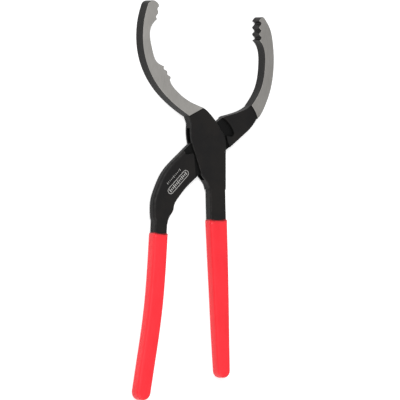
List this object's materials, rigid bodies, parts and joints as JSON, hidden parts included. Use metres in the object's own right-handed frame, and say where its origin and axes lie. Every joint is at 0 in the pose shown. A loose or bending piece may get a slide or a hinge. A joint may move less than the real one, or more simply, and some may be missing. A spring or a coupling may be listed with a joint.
{
  "type": "oil filter wrench",
  "caption": "Scissor-type filter pliers: two curved toothed jaws on a riveted box joint, with long handles in dipped red grips.",
  "frame": {"origin": "on the pivot axis, at the rear face of the box joint", "axes": "+Y from the pivot towards the jaws, +X across the jaws towards the tongue lever's jaw, +Z along the pivot axis from the rear face to the front face"},
  "size_m": [0.1612, 0.3991, 0.0132],
  "materials": {
    "forged_steel": "satin",
    "rivet_steel": "satin",
    "red_vinyl": "semi-gloss"
  },
  "bodies": {
    "slotted_side": {"slotted_lever": "forged_steel", "pivot_rivet": "rivet_steel", "slotted_lever_grip": "red_vinyl"},
    "tongue_side": {"tongue_lever": "forged_steel", "tongue_lever_grip": "red_vinyl"}
  },
  "joints": [
    {"name": "pivot", "type": "hinge", "parent": "slotted_side", "child": "tongue_side", "pos_m": [0, 0, 0.0053], "axis": [0, 0, 1], "range_deg": [-28, 14]}
  ]
}
